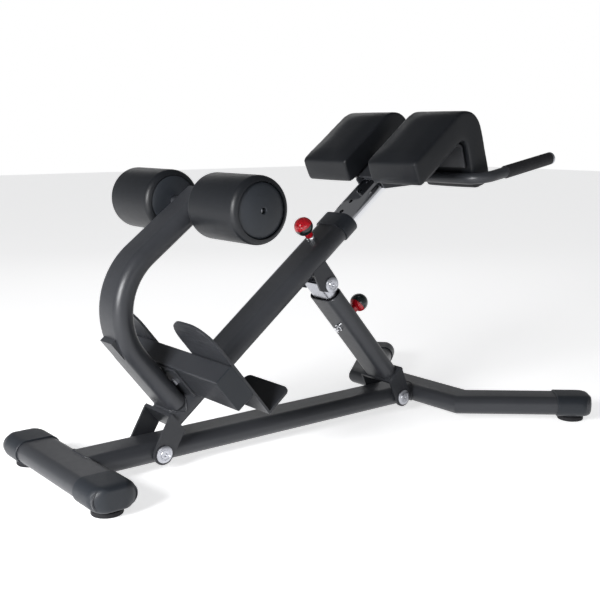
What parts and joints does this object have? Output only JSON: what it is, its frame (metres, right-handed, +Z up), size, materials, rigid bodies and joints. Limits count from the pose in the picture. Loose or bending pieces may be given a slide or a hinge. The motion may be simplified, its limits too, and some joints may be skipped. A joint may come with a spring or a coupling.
{
  "type": "roman chair",
  "caption": "Free-standing 45 degree back-extension bench with split hip pads, ankle rollers, foot plates, a tilting post on a telescopic strut and handles.",
  "frame": {"origin": "on the floor, under the middle of the whole object", "axes": "+Z up, +X forwards towards the hip pads and handles, +Y to the user's left"},
  "size_m": [1.4141, 0.8986, 0.8295],
  "materials": {
    "frame_paint": "satin anthracite powder coat",
    "moulded_plastic": "moulded satin",
    "rubber": "matte",
    "grip_rubber": "fine textured",
    "roller_foam": "smooth integral skin",
    "pad_vinyl": "smooth upholstery skin",
    "chrome": "polished",
    "zinc": "zinc plated",
    "red_plastic": "gloss",
    "black_gloss": "gloss"
  },
  "bodies": {
    "base": {"rear_crossbar": "frame_paint", "main_rail": "frame_paint", "front_crossbar": "frame_paint", "left_front_leg": "frame_paint", "right_front_leg": "frame_paint", "rear_left_end_cap": "moulded_plastic", "rear_right_end_cap": "moulded_plastic", "front_left_end_cap": "moulded_plastic", "front_right_end_cap": "moulded_plastic", "rear_left_foot": "rubber", "rear_right_foot": "rubber", "front_left_foot": "rubber", "front_right_foot": "rubber", "rear_pivot_bush": "zinc", "front_pivot_bush": "zinc", "rear_pivot_bolt": "zinc", "front_pivot_bolt": "zinc"},
    "post": {"rear_yoke": "frame_paint", "main_post": "frame_paint", "post_collar": "moulded_plastic", "strut_bracket": "frame_paint", "top_pivot_bolt": "zinc", "roller_arm": "frame_paint", "arm_gusset_plate": "frame_paint", "roller_axle": "zinc", "platform_tube": "frame_paint", "platform_left_end_cap": "moulded_plastic", "platform_right_end_cap": "moulded_plastic", "platform_bracket": "frame_paint", "left_bracket_bolt": "zinc", "right_bracket_bolt": "zinc", "left_foot_plate": "frame_paint", "right_foot_plate": "frame_paint", "upper_pin_housing": "chrome"},
    "upper_pin": {"upper_pin_plunger": "zinc", "upper_pin_red_collar": "red_plastic", "upper_pin_ball_knob": "black_gloss"},
    "left_roller": {"left_roller_hub": "moulded_plastic", "left_roller_foam": "roller_foam"},
    "right_roller": {"right_roller_hub": "moulded_plastic", "right_roller_foam": "roller_foam"},
    "pad_carriage": {"inner_tube": "chrome", "pad_carrier": "frame_paint", "left_pad_plate": "frame_paint", "right_pad_plate": "frame_paint", "left_hip_pad": "pad_vinyl", "right_hip_pad": "pad_vinyl", "handle_bar": "frame_paint", "left_grip": "grip_rubber", "right_grip": "grip_rubber", "left_end_plug": "zinc", "right_end_plug": "zinc"},
    "strut_outer": {"front_yoke": "frame_paint", "strut_outer_tube": "frame_paint", "lower_pin_housing": "chrome", "strut_clamp_screw": "chrome"},
    "lower_pin": {"lower_pin_plunger": "zinc", "lower_pin_red_collar": "red_plastic", "lower_pin_ball_knob": "black_gloss"},
    "strut_inner": {"strut_inner_tube": "zinc"}
  },
  "joints": [
    {"name": "post_tilt", "type": "hinge", "parent": "base", "child": "post", "pos_m": [-0.44386, 0, 0.044], "axis": [0, -1, 0], "range_deg": [0, 15]},
    {"name": "strut_swing", "type": "hinge", "parent": "base", "child": "strut_outer", "pos_m": [0.32164, 0, 0.044], "axis": [0, -1, 0], "range_deg": [-0.5, 0.5]},
    {"name": "strut_extend", "type": "slide", "parent": "strut_outer", "child": "strut_inner", "axis": [-0.6488, 0, 0.7609], "range_m": [0, 0.165]},
    {"name": "pad_slide", "type": "slide", "parent": "post", "child": "pad_carriage", "axis": [0.7842, 0, 0.6205], "range_m": [-0.075, 0.15]},
    {"name": "upper_pin_pull", "type": "slide", "parent": "post", "child": "upper_pin", "axis": [-0.6205, 0, 0.7842], "range_m": [0, 0.012], "stiffness_N_per_m": 700, "springref_m": -0.008},
    {"name": "lower_pin_pull", "type": "slide", "parent": "strut_outer", "child": "lower_pin", "axis": [0.7609, 0, 0.6488], "range_m": [0, 0.012], "stiffness_N_per_m": 700, "springref_m": -0.008},
    {"name": "left_roller_spin", "type": "hinge", "parent": "post", "child": "left_roller", "pos_m": [-0.31416, 0, 0.60936], "axis": [0, 1, 0], "continuous": true},
    {"name": "right_roller_spin", "type": "hinge", "parent": "post", "child": "right_roller", "pos_m": [-0.31416, 0, 0.60936], "axis": [0, 1, 0], "continuous": true}
  ],
  "couplings": [
    {"joint": "strut_swing", "follows": "post_tilt", "ratio": -0.0066},
    {"joint": "strut_extend", "follows": "post_tilt", "m_per_rad": 0.6128}
  ]
}
